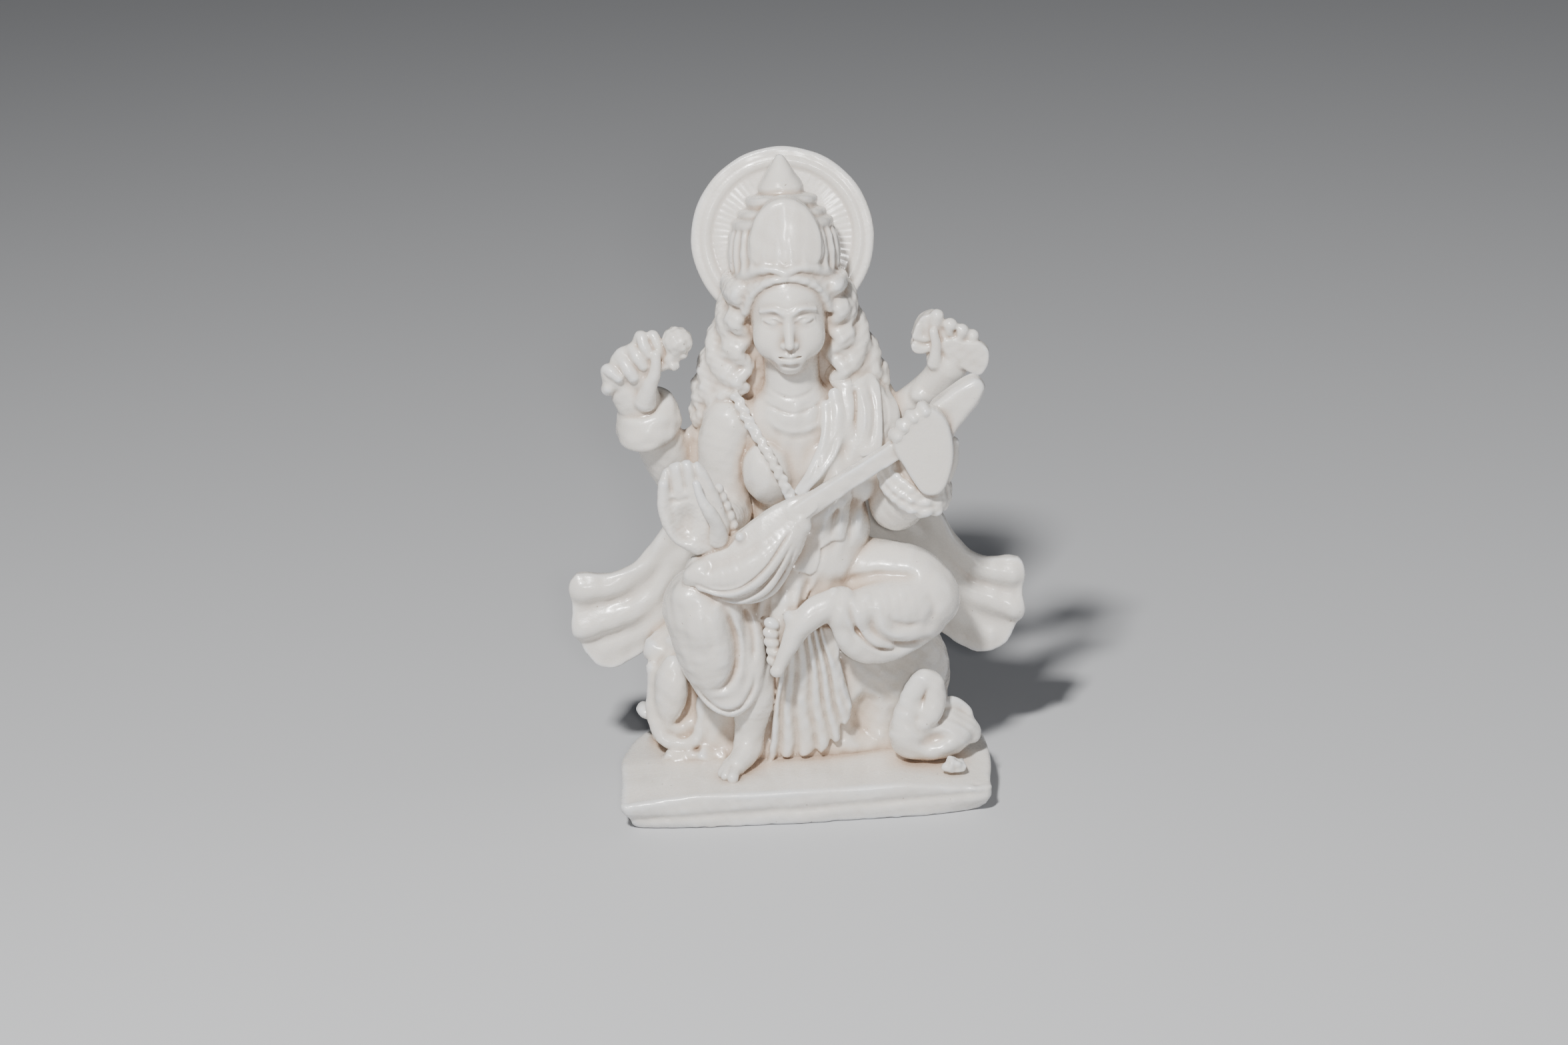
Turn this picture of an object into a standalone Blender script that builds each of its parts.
"""Small cast figurine of a four-armed seated figure playing a long-necked lute.

Every cast piece is its own closed solid. A piece is a clay sketch: a list of hulls,
where a hull is the skin stretched over a few balls (x, y, z, radius) in millimetres.
The hulls are fused, thinned, and then trimmed by the pieces made before them, so that
neighbours meet with a small gap. The front faces -Y and the figure's right is at -X.
"""
import math

import bmesh
import bpy
from mathutils import Vector

MM = 0.001

# Whole figure
BASE_FRONT = -23.5      # front and back edges of the slab
BASE_BACK = 23.5
BASE_TOP = 7.0
SASH_REACH = 42.5       # half the overall width, at the tips of the sash ends
GAP = 0.35              # room left between two pieces that touch
FLAT_ENOUGH = math.radians(3.0)     # neighbouring faces closer than this are merged
FINE_FROM = 1.0         # balls over this radius get the finer skin

# Figure landmarks
NECK_FOOT = (1.0, 0.5, 71.0)
NECK_TOP = (0.8, 0.5, 84.0)
HEAD = (0.6, 0.0, 92.0)          # chin half a head above the shoulders
HEAD_HALF = (7.35, 8.8, 10.5)     # seven tenths as wide as tall
CROWN_FOOT = (0.4, 3.6, 97.5)
CROWN_TIP = (0.4, 8.0, 118.6)
HALO_CENTRE = (0.3, 11.6, 102.4)
HALO_RADIUS = 17.0
HALO_LEAN = math.radians(13.5)
KNEE_RIGHT = (-17.5, -9.5, 38.0)
KNEE_LEFT = (23.0, -6.0, 38.0)

# Lute: the pointed end of its bowl
LUTE_TAIL = (-19.0, -14.5, 46.5)

# Cast marble dust: warm white, and a slightly warmer white on the deep cloth
WHITE = (0.80, 0.77, 0.72)
CREAM = (0.79, 0.74, 0.67)


def between(a, b, t):
    """The point a fraction t of the way from a to b."""
    return tuple(p + (q - p) * t for p, q in zip(a, b))


def ball(point, radius):
    return (*point, radius)


def limb(*balls):
    """A chain of tapering rods through the balls."""
    return [[a, b] for a, b in zip(balls, balls[1:])]


def web(*rows):
    """A sheet stretched between neighbouring rows of balls, all of one length."""
    hulls = []
    for upper, lower in zip(rows, rows[1:]):
        for i in range(len(upper) - 1):
            hulls.append([upper[i], upper[i + 1], lower[i], lower[i + 1]])
    return hulls


def ellipse(centre, half_x, half_y, edge=0.3, count=20):
    """Small balls around a level ellipse, used as the rim of a turned tier."""
    x, y, z = centre
    angles = [math.tau * i / count for i in range(count)]
    return [(x + half_x * math.cos(a), y + half_y * math.sin(a), z, edge) for a in angles]


def egg(centre, half):
    """A smooth egg: stacked level ellipses under one hull."""
    rims = []
    for step in range(-4, 5):
        lift = math.radians(step * 22.0)
        level = (centre[0], centre[1], centre[2] + half[2] * math.sin(lift))
        rims += ellipse(level, half[0] * math.cos(lift), half[1] * math.cos(lift), 0.05, 16)
    return [rims]


# ---------------------------------------------------------------- sub-parts

def pebble():
    return [[(26.4, -17.6, 8.3, 1.1), (28.8, -17.4, 8.2, 0.9)]]


def swan():
    body = [[(20.4, -14.5, 13.0, 3.9), (27.2, -12.5, 12.6, 4.3), (31.0, -11.5, 12.6, 2.2)]]
    tail = [[(27.0, -11.0, 15.0, 2.4), (30.6, -9.5, 15.0, 1.6)]]
    neck = limb((18.6, -14.5, 14.5, 2.4), (18.9, -14.5, 19.0, 2.1), (20.6, -14.5, 23.2, 1.9),
                (23.4, -14.5, 24.3, 1.8), (25.9, -14.5, 22.6, 1.8), (26.2, -14.8, 19.6, 1.6),
                (24.0, -15.2, 17.0, 1.3))
    return body + tail + neck


def waist_tassel():
    return limb((-4.9, -14.6, 36.0, 1.5), (-4.9, -15.2, 32.5, 1.6), (-4.8, -15.4, 29.0, 1.9))


def lute_gourd():
    face = [(20.8, -15.6, 70.6, 0.9), (25.0, -15.6, 74.6, 0.9), (28.0, -15.6, 70.5, 0.9),
            (27.6, -15.6, 64.0, 0.9), (24.8, -15.6, 61.2, 0.9), (22.6, -15.6, 63.4, 0.9)]
    back = [(22.6, -11.4, 70.0, 2.2), (25.6, -11.4, 72.0, 2.2), (25.6, -11.4, 65.0, 2.2)]
    return [face + back]


def lute_head():
    return limb((26.6, -9.4, 73.6, 2.7), (31.6, -8.6, 77.0, 2.9), (33.2, -8.4, 78.0, 2.3))


def lute_neck():
    near = [(2.2, -14.6, 54.8, 1.0), (2.2, -12.4, 54.8, 1.0), (1.0, -14.6, 58.2, 1.0),
            (1.0, -12.4, 58.2, 1.0)]
    far = [(19.2, -13.0, 66.4, 0.9), (19.2, -11.2, 66.4, 0.9), (17.9, -13.0, 68.7, 0.9),
           (17.9, -11.2, 68.7, 0.9)]
    return [near + far]


def lute_bowl():
    rim = [ball(LUTE_TAIL, 1.0), (-10.0, -15.2, 51.8, 1.4), (-1.2, -14.4, 56.0, 1.2)]
    keel = [(-13.5, -14.6, 43.8, 2.4), (-7.5, -14.8, 44.0, 2.9), (-2.6, -14.4, 48.2, 2.8)]
    back = [(-13.0, -11.6, 47.0, 2.0), (-6.5, -11.2, 49.0, 3.0)]
    ribs = limb((-17.0, -16.4, 45.6, 1.0), (-10.0, -18.2, 45.4, 1.3), (-1.5, -17.0, 51.5, 1.0))
    return [rim + keel + back] + ribs


def flower_bud():
    return limb((-31.5, -1.6, 81.2, 0.9), (-22.5, -2.2, 86.4, 1.1), (-19.6, -2.2, 87.8, 2.9))


def leaf_book():
    left_end = [[(23.6, 1.2, 89.2, 0.8), (26.0, 1.2, 91.4, 0.8), (23.8, 1.2, 85.4, 0.8),
                 (26.6, 1.2, 84.8, 0.8), (24.4, 3.0, 88.0, 0.8)]]
    right_end = [[(26.0, 2.0, 88.0, 1.2), (33.2, 1.4, 83.6, 2.2), (31.0, 1.8, 80.6, 2.2),
                  (33.6, 1.6, 80.8, 2.0)]]
    return left_end + right_end


def bangle(centre, axis, radius, length):
    """A thick collar around a wrist, made of beads between two rims."""
    along = Vector(axis).normalized()
    side = along.orthogonal().normalized()
    other = along.cross(side)
    hull = []
    for i in range(14):
        angle = math.tau * i / 14
        out = (side * math.cos(angle) + other * math.sin(angle)) * radius
        for offset in (-0.5, 0.5):
            spot = Vector(centre) + out + along * (offset * length)
            hull.append((*spot, 0.7))
    return [hull]


def rear_right_cuff():
    return bangle((-26.0, 3.0, 69.4), (-0.45, -0.1, 1.0), 4.6, 2.2)


def front_left_cuff():
    return bangle((22.3, -8.6, 58.9), (-0.35, -0.35, 1.0), 5.0, 2.2)


def fingers(roots, tips, radius):
    """Four fingers, each from its root to its tip."""
    hulls = []
    for root, tip in zip(roots, tips):
        hulls += limb(ball(root, radius), ball(tip, radius * 0.85))
    return hulls


def front_right_arm():
    arm = limb((-12.2, 0.5, 68.0, 5.0), (-13.2, 0.0, 60.0, 4.7), (-13.0, -1.5, 53.8, 4.4),
               (-14.6, -8.0, 54.2, 3.2), (-16.6, -12.6, 54.4, 2.9))
    palm = web([(-22.8, -13.6, 60.4, 1.6), (-17.4, -13.0, 61.4, 1.8)],
               [(-20.8, -13.8, 53.2, 1.7), (-16.0, -13.2, 53.0, 2.0)])
    roots = [(-22.9, -14.0, 60.6), (-20.9, -13.6, 61.0), (-18.9, -13.2, 61.4), (-17.0, -13.0, 61.6)]
    tips = [(-23.0, -12.6, 64.6), (-21.4, -12.0, 66.8), (-19.2, -11.6, 67.2), (-17.4, -12.0, 66.2)]
    thumb = limb((-15.0, -15.2, 55.6, 1.9), (-15.8, -17.0, 60.6, 1.3), (-17.4, -16.6, 63.8, 1.0))
    return arm + palm + fingers(roots, tips, 1.2) + thumb


def front_left_arm():
    arm = limb((14.2, 1.0, 68.0, 5.0), (17.6, -0.6, 60.0, 4.8), (18.8, -3.4, 53.6, 4.6),
               (21.4, -7.4, 57.6, 4.2), (22.2, -9.6, 62.0, 3.2))
    hand = limb((22.2, -9.6, 62.0, 3.2), (21.0, -10.4, 66.0, 2.4))
    return arm + hand


def rear_right_arm():
    arm = limb((-10.5, 4.5, 66.0, 4.4), (-18.6, 6.8, 59.2, 4.2), (-22.4, 5.8, 61.8, 4.1),
               (-25.6, 3.4, 69.0, 3.7), (-27.6, 2.2, 74.2, 3.4))
    palm = web([(-31.6, 1.0, 79.8, 1.8), (-26.2, 0.8, 82.6, 1.8)],
               [(-29.0, 2.0, 74.0, 2.4), (-26.4, 2.0, 74.8, 2.4)])
    roots = [(-31.6, 1.0, 79.6), (-30.0, 0.8, 80.6), (-28.2, 0.6, 82.0), (-26.2, 0.4, 83.6)]
    tips = [(-32.2, -0.6, 82.6), (-29.9, -1.6, 83.2), (-27.8, -1.8, 85.0), (-25.2, -1.8, 87.4)]
    thumb = limb((-25.6, -0.6, 76.6, 2.0), (-24.2, -2.4, 81.6, 1.3), (-23.6, -3.2, 85.0, 1.0))
    return arm + palm + fingers(roots, tips, 1.3) + thumb


def rear_left_arm():
    arm = limb((12.0, 4.6, 66.5, 4.4), (18.6, 6.6, 67.6, 4.0), (22.6, 5.2, 72.6, 3.5),
               (26.2, 3.4, 77.2, 2.9), (28.4, 1.4, 81.0, 3.0))
    palm = web([(27.4, 0.2, 86.8, 1.8), (31.6, 0.4, 84.4, 1.8)],
               [(27.2, 1.2, 81.0, 2.2), (30.0, 1.2, 80.2, 2.4)])
    roots = [(27.2, -0.4, 86.6), (29.0, -0.6, 86.0), (30.8, -0.6, 85.0), (32.2, -0.6, 84.0)]
    tips = [(27.4, -0.8, 90.2), (29.6, -1.0, 89.0), (31.8, -1.0, 87.6), (33.4, -1.0, 86.4)]
    thumb = limb((26.6, -1.4, 82.4, 1.5), (26.6, -1.8, 87.0, 1.0))
    return arm + palm + fingers(roots, tips, 1.2) + thumb


def left_leg():
    thigh = limb((7.0, 0.0, 42.0, 7.6), (16.0, -3.6, 40.6, 7.0), ball(KNEE_LEFT, 6.6))
    shin = limb(ball(KNEE_LEFT, 6.4), (14.0, -12.0, 35.4, 5.6), (7.6, -14.6, 37.4, 3.4))
    cloth = limb((26.0, -8.6, 33.6, 3.2), (16.4, -11.6, 28.6, 3.2), (9.0, -13.2, 31.4, 2.6))
    foot = limb((6.6, -15.2, 38.0, 2.8), (2.4, -16.4, 36.6, 2.4), (-0.6, -17.2, 33.8, 2.0),
                (-3.6, -17.4, 29.8, 1.2))
    return thigh + shin + cloth + foot


def right_leg():
    thigh = limb((-5.0, 1.0, 41.6, 7.4), (-12.0, -4.4, 40.0, 7.6), ball(KNEE_RIGHT, 7.2))
    shin = limb(ball(KNEE_RIGHT, 7.2), (-16.2, -10.6, 29.0, 6.2), (-12.6, -11.4, 22.0, 5.0))
    hem = limb((-16.8, -12.6, 23.0, 2.3), (-12.0, -14.0, 19.6, 2.4), (-7.4, -12.4, 22.0, 2.3))
    ankle = limb((-11.4, -11.6, 21.0, 3.4), (-10.0, -12.4, 12.8, 2.8), (-10.8, -14.2, 9.8, 2.4))
    foot = limb((-10.8, -14.2, 9.8, 2.4), (-12.6, -18.6, 8.6, 1.9), (-13.4, -20.2, 8.2, 1.3))
    return thigh + shin + hem + ankle + foot


def hem_pleats():
    ribs = 6
    rows = []
    for i in range(ribs):
        t = i / (ribs - 1)
        top = between((-0.6, -12.6, 32.4), (5.4, -12.2, 32.0), t)
        foot = between((-5.6, -13.8, 10.6), (7.2, -13.0, 14.6), t)
        rows.append([ball(top, 1.1), ball(foot, 1.5)])
    backing = web([(-0.4, -9.4, 32.0, 1.4), (5.4, -9.4, 32.0, 1.4)],
                  [(-4.8, -9.8, 10.6, 1.8), (6.6, -9.8, 13.6, 1.8)])
    return [hull for row in rows for hull in limb(*row)] + web(*rows) + backing


def bead_strap():
    return limb((-9.4, -2.6, 75.6, 0.9), (-7.4, -5.6, 71.6, 0.9), (-4.6, -9.2, 66.0, 0.9),
                (-2.0, -10.4, 61.6, 0.9), (-0.6, -10.4, 58.6, 0.9))


def shoulder_drape():
    return web([(8.6, 1.0, 74.6, 1.4), (12.2, 1.4, 73.4, 1.5), (15.4, 2.6, 71.6, 1.4)],
               [(9.8, -5.4, 71.2, 1.3), (12.8, -5.0, 70.6, 1.4), (16.4, -3.6, 69.4, 1.3)],
               [(11.0, -7.4, 67.4, 1.1), (13.2, -6.8, 67.0, 1.2), (17.6, -4.8, 65.6, 1.1)])


def crown_plate():
    rim = [(1.4, -2.6, 112.0, 0.9), (-3.0, -4.4, 109.0, 0.9), (-5.0, -5.2, 105.4, 0.9),
           (-4.0, -5.8, 102.8, 0.9), (0.6, -6.6, 101.8, 0.9), (5.4, -5.6, 102.6, 0.9),
           (6.6, -5.0, 105.2, 0.9), (5.0, -4.2, 109.0, 0.9)]
    heart = [(0.8, -6.2, 105.6, 1.8), (0.8, -2.4, 105.6, 1.8)]
    return [rim + heart]


def crown():
    lean = (CROWN_TIP[1] - CROWN_FOOT[1]) / (CROWN_TIP[2] - CROWN_FOOT[2])
    tiers = [(97.5, 9.4, 101.8, 10.2), (101.8, 10.2, 106.4, 9.0), (106.2, 8.6, 108.6, 7.9),
             (108.4, 7.0, 110.2, 6.4), (110.0, 6.4, 112.0, 5.9), (111.8, 4.2, 113.2, 3.9),
             (113.0, 3.8, 118.6, 0.5)]
    hulls = []
    for low, low_radius, high, high_radius in tiers:
        rims = []
        for level, radius in ((low, low_radius), (high, high_radius)):
            centre = (CROWN_FOOT[0], CROWN_FOOT[1] + lean * (level - CROWN_FOOT[2]), level)
            rims += ellipse(centre, radius, radius, 0.2)
        hulls.append(rims)
    return hulls


def head():
    x, y, z = HEAD
    nose = limb((x, y - 7.6, z + 0.4, 0.8), (x, y - 8.6, z - 3.0, 1.0))
    return egg(HEAD, HEAD_HALF) + nose


def halo_disc():
    hull = []
    for i in range(32):
        angle = math.tau * i / 32
        across = (HALO_RADIUS - 0.9) * math.cos(angle)
        up = (HALO_RADIUS - 0.9) * math.sin(angle)
        for depth in (-0.7, 0.7):
            y = up * math.sin(HALO_LEAN) + depth * math.cos(HALO_LEAN)
            z = up * math.cos(HALO_LEAN) - depth * math.sin(HALO_LEAN)
            hull.append((HALO_CENTRE[0] + across, HALO_CENTRE[1] + y, HALO_CENTRE[2] + z, 0.9))
    return [hull]


def hair(side):
    """Wavy locks down one side of the head; side is -1 for the figure's right."""
    middle = 0.6
    front = limb((middle + side * 5.0, -5.0, 100.2, 1.8), (middle + side * 8.2, -2.4, 96.0, 2.0),
                 (middle + side * 8.6, -1.4, 88.6, 2.2), (middle + side * 10.6, -0.6, 82.6, 2.3),
                 (middle + side * 10.4, -0.4, 77.6, 2.2))
    outer = limb((middle + side * 8.4, 1.6, 97.0, 2.2), (middle + side * 10.6, 2.4, 88.8, 2.4),
                 (middle + side * 13.4, 3.2, 82.4, 2.4), (middle + side * 15.6, 3.8, 75.6, 2.4),
                 (middle + side * 16.0, 5.0, 66.4, 2.2))
    back = web([(side * 2.0, 8.0, 97.0, 2.2), (side * 8.2, 5.6, 96.0, 2.6)],
               [(side * 2.0, 9.0, 82.0, 2.6), (side * 11.4, 6.4, 80.0, 3.0)],
               [(side * 2.0, 10.4, 61.0, 2.4), (side * 13.8, 7.6, 64.0, 2.8)])
    return front + outer + back


def hair_right():
    return hair(-1)


def hair_left():
    return hair(1)


def torso():
    neck = limb(ball(NECK_TOP, 5.2), ball(NECK_FOOT, 5.8))
    chest = [[(-8.4, 1.5, 67.6, 5.4), (10.4, 1.5, 67.6, 5.4), (-5.0, 1.5, 57.0, 6.2),
              (7.0, 1.5, 57.0, 6.2), (1.0, 0.5, 72.0, 5.0)]]
    bust = limb((-5.4, -3.6, 62.8, 6.0), (-5.2, 0.0, 60.0, 6.0))
    bust += limb((7.6, -3.4, 62.6, 5.8), (7.0, 0.0, 60.0, 6.0))
    belly = [[(-3.6, 2.0, 57.0, 6.4), (5.6, 2.0, 57.0, 6.4), (1.0, 0.0, 47.0, 9.6)]]
    hips = [[(-7.0, 2.0, 42.0, 8.6), (9.0, 2.0, 42.0, 8.6), (1.0, 0.0, 48.0, 8.6)]]
    return neck + chest + bust + belly + hips


def sash(side):
    """A flared cloth end beside the hips, in long rounded folds."""
    root = [(side * 9.0, 8.6, 56.0, 2.0), (side * 10.0, 9.4, 48.0, 2.0),
            (side * 12.0, 10.0, 40.0, 2.0), (side * 15.0, 9.6, 32.0, 2.0)]
    middle = [(side * 26.0, 8.4, 43.6, 1.9), (side * 26.4, 7.6, 38.6, 2.1),
              (side * 27.0, 8.2, 33.0, 1.9), (side * 27.6, 8.0, 27.2, 1.9)]
    outer = [(side * 34.8, 7.4, 38.0, 1.8), (side * 35.6, 6.4, 34.0, 2.1),
             (side * 35.4, 7.2, 28.4, 1.8), (side * 34.0, 6.8, 23.6, 1.8)]
    edge_x = SASH_REACH - 1.9
    edge = [(side * edge_x, 6.2, 38.2, 1.9), (side * edge_x, 5.6, 34.2, 1.9),
            (side * (edge_x - 0.6), 6.0, 28.8, 1.9), (side * (edge_x - 3.0), 6.0, 23.6, 1.9)]
    return web(root, middle, outer, edge)


def sash_right():
    return sash(-1)


def sash_left():
    return sash(1)


def rock_seat():
    top = [(-19.6, -2.0, 30.0, 5.0), (-19.0, 8.0, 29.0, 5.0), (-8.0, 14.0, 29.0, 5.0),
           (8.0, 14.0, 29.0, 5.0), (18.6, 8.0, 27.6, 5.0), (18.8, -1.0, 26.6, 5.0),
           (0.0, -4.0, 30.0, 4.0)]
    waist = [(-24.4, 0.0, 20.0, 4.6), (-22.0, 12.0, 20.0, 4.6), (-9.0, 17.6, 20.0, 4.0),
             (9.0, 17.6, 20.0, 4.0), (20.4, 12.0, 19.6, 4.4), (23.2, 0.0, 19.0, 4.4),
             (0.0, -8.0, 20.0, 3.6)]
    foot = [(-25.6, -3.0, 9.6, 3.4), (-25.6, 8.0, 10.0, 3.8), (-14.0, 17.4, 9.8, 3.6),
            (14.0, 17.4, 9.8, 3.6), (24.4, 8.0, 9.8, 3.6), (22.4, -6.0, 9.6, 3.4),
            (0.0, -9.6, 9.6, 3.0), (-14.0, -8.6, 9.6, 3.0)]
    left_knob = limb((-24.6, 2.0, 24.0, 4.0), (-26.6, 2.0, 14.6, 4.4))
    hollow_rim = limb((-24.6, -4.0, 20.6, 1.6), (-25.0, -7.6, 13.4, 1.6), (-20.6, -9.6, 10.6, 1.8),
                      (-17.4, -8.6, 15.0, 1.5))
    return [top + waist, waist + foot] + left_knob + hollow_rim


# ---------------------------------------------------------------- making the solids

def base_outline(level, inset):
    """The D-shaped slab outline at one level: a straight front and a round back."""
    corner = 34.4 - inset
    front = BASE_FRONT + inset
    points = [Vector((corner, front + 3.0, level)), Vector((0.0, front, level)),
              Vector((-corner, front + 1.0, level))]
    for i in range(17):
        angle = math.pi + math.pi * i / 16
        x = corner * math.cos(angle)
        y = -6.0 - (BASE_BACK + 6.0 - inset) * math.sin(angle)
        points.append(Vector((x, y, level)))
    return points


def base_mesh(grow):
    """The slab: a narrow flat foot, a lip half way up and a level top."""
    levels = [(0.0 - grow, 2.6 - grow), (2.2, 0.4 - grow), (4.6, 0.0 - grow),
              (BASE_TOP - 0.6, 0.0 - grow), (BASE_TOP + grow, 0.7 - grow)]
    mesh = bmesh.new()
    rings = []
    for level, inset in levels:
        rings.append([mesh.verts.new(p * MM) for p in base_outline(level, inset)])
    for lower, upper in zip(rings, rings[1:]):
        for i in range(len(lower)):
            j = (i + 1) % len(lower)
            mesh.faces.new((lower[i], lower[j], upper[j], upper[i]))
    mesh.faces.new(list(reversed(rings[0])))
    mesh.faces.new(rings[-1])
    bmesh.ops.recalc_face_normals(mesh, faces=mesh.faces)
    return mesh


def unit_ball(subdivisions):
    """The corners of an even ball of radius 1."""
    mesh = bmesh.new()
    made = bmesh.ops.create_icosphere(mesh, subdivisions=subdivisions, radius=1.0)
    corners = [v.co.copy() for v in made["verts"]]
    mesh.free()
    return corners


def hull_mesh(hulls, grow):
    """All hulls of one piece in one mesh, still overlapping."""
    coarse = unit_ball(1)
    fine = unit_ball(2)
    together = bpy.data.meshes.new("together")
    whole = bmesh.new()
    for balls in hulls:
        one = bmesh.new()
        for x, y, z, radius in balls:
            for corner in fine if radius > FINE_FROM else coarse:
                one.verts.new((Vector((x, y, z)) + corner * (radius + grow)) * MM)
        result = bmesh.ops.convex_hull(one, input=one.verts)
        inside = [v for v in result["geom_interior"] if isinstance(v, bmesh.types.BMVert)]
        bmesh.ops.delete(one, geom=inside, context="VERTS")
        bmesh.ops.recalc_face_normals(one, faces=one.faces)
        one.to_mesh(together)
        whole.from_mesh(together)
        one.free()
    bpy.data.meshes.remove(together)
    return whole


def as_object(name, mesh):
    data = bpy.data.meshes.new(name)
    mesh.to_mesh(data)
    mesh.free()
    piece = bpy.data.objects.new(name, data)
    bpy.context.scene.collection.objects.link(piece)
    return piece


def bake_modifiers(piece):
    """Replace the piece's mesh with its evaluated one."""
    graph = bpy.context.evaluated_depsgraph_get()
    baked = bpy.data.meshes.new_from_object(piece.evaluated_get(graph))
    piece.modifiers.clear()
    piece.data = baked


def fused(name, hulls, voxel, keep, grow):
    """One closed skin over the hulls, thinned to the given share of its faces."""
    piece = as_object(name, hull_mesh(hulls, grow))
    skin = piece.modifiers.new("skin", "REMESH")
    skin.mode = "VOXEL"
    skin.voxel_size = voxel * MM
    thin = piece.modifiers.new("thin", "DECIMATE")
    thin.ratio = keep
    bake_modifiers(piece)
    return piece


def keep_largest(piece):
    """Drop crumbs that trimming leaves beside the main body."""
    mesh = bmesh.new()
    mesh.from_mesh(piece.data)
    islands = []
    waiting = set(mesh.faces)
    while waiting:
        island = set()
        stack = [waiting.pop()]
        while stack:
            face = stack.pop()
            island.add(face)
            for edge in face.edges:
                for other in edge.link_faces:
                    if other in waiting:
                        waiting.discard(other)
                        stack.append(other)
        islands.append(island)
    islands.sort(key=lambda faces: sum(f.calc_area() for f in faces))
    crumbs = [f for island in islands[:-1] for f in island]
    bmesh.ops.delete(mesh, geom=crumbs, context="FACES")
    bmesh.ops.dissolve_limit(mesh, angle_limit=FLAT_ENOUGH, verts=mesh.verts, edges=mesh.edges)
    bmesh.ops.triangulate(mesh, faces=mesh.faces)
    mesh.to_mesh(piece.data)
    mesh.free()


def boxes_meet(one, other):
    for axis in range(3):
        a = [corner[axis] for corner in one.bound_box]
        b = [corner[axis] for corner in other.bound_box]
        if min(a) > max(b) or min(b) > max(a):
            return False
    return True


def trim(piece, cutters):
    """Cut away what the earlier pieces and their gap take up."""
    for cutter in cutters:
        if boxes_meet(piece, cutter):
            cut = piece.modifiers.new("cut", "BOOLEAN")
            cut.operation = "DIFFERENCE"
            cut.solver = "EXACT"
            cut.object = cutter
            bake_modifiers(piece)
    keep_largest(piece)


def stone_material(name, colour, roughness):
    material = bpy.data.materials.new(name)
    material.use_nodes = True
    shader = material.node_tree.nodes["Principled BSDF"]
    shader.inputs["Base Color"].default_value = (*colour, 1.0)
    shader.inputs["Roughness"].default_value = roughness
    shader.inputs["Metallic"].default_value = 0.0
    return material


# Name, sketch, skin size in mm, share of faces kept. Earlier pieces trim later ones.
PIECES = [
    ("halo_disc", halo_disc, 0.8, 0.04),
    ("pebble", pebble, 0.57, 0.12),
    ("swan", swan, 0.69, 0.072),
    ("waist_tassel", waist_tassel, 0.57, 0.1),
    ("lute_gourd", lute_gourd, 0.69, 0.06),
    ("lute_head", lute_head, 0.69, 0.08),
    ("lute_neck", lute_neck, 0.57, 0.06),
    ("lute_bowl", lute_bowl, 0.8, 0.072),
    ("flower_bud", flower_bud, 0.57, 0.1),
    ("leaf_book", leaf_book, 0.69, 0.08),
    ("front_right_arm", front_right_arm, 0.69, 0.08),
    ("front_left_arm", front_left_arm, 0.92, 0.08),
    ("rear_right_arm", rear_right_arm, 0.69, 0.08),
    ("rear_left_arm", rear_left_arm, 0.69, 0.08),
    ("rear_right_cuff", rear_right_cuff, 0.69, 0.1),
    ("front_left_cuff", front_left_cuff, 0.69, 0.1),
    ("left_leg", left_leg, 1.03, 0.08),
    ("right_leg", right_leg, 1.03, 0.08),
    ("hem_pleats", hem_pleats, 0.8, 0.08),
    ("bead_strap", bead_strap, 0.57, 0.08),
    ("shoulder_drape", shoulder_drape, 0.69, 0.08),
    ("crown_plate", crown_plate, 0.69, 0.08),
    ("crown", crown, 0.69, 0.072),
    ("head", head, 0.8, 0.08),
    ("hair_right", hair_right, 0.92, 0.08),
    ("hair_left", hair_left, 0.92, 0.08),
    ("torso", torso, 1.03, 0.08),
    ("sash_right", sash_right, 0.92, 0.072),
    ("sash_left", sash_left, 0.92, 0.072),
    ("rock_seat", rock_seat, 1.38, 0.08),
]
CREAM_PIECES = ("hem_pleats", "waist_tassel", "bead_strap", "rock_seat")


def main():
    for old in list(bpy.data.objects):
        bpy.data.objects.remove(old)
    white = stone_material("cast_white", WHITE, 0.42)
    cream = stone_material("cast_cream", CREAM, 0.48)
    slab = as_object("base_slab", base_mesh(0.0))
    slab.data.materials.append(white)
    cutters = [as_object("base_slab_room", base_mesh(GAP))]
    for name, sketch, voxel, keep in PIECES:
        hulls = sketch()
        piece = fused(name, hulls, voxel, keep, 0.0)
        trim(piece, cutters)
        piece.data.materials.clear()
        piece.data.materials.append(cream if name in CREAM_PIECES else white)
        piece.data.shade_smooth()
        piece.data.set_sharp_from_angle(angle=math.radians(40))
        cutters.append(fused(name + "_room", hulls, voxel, keep, GAP))
    for cutter in cutters:
        bpy.data.objects.remove(cutter)


main()
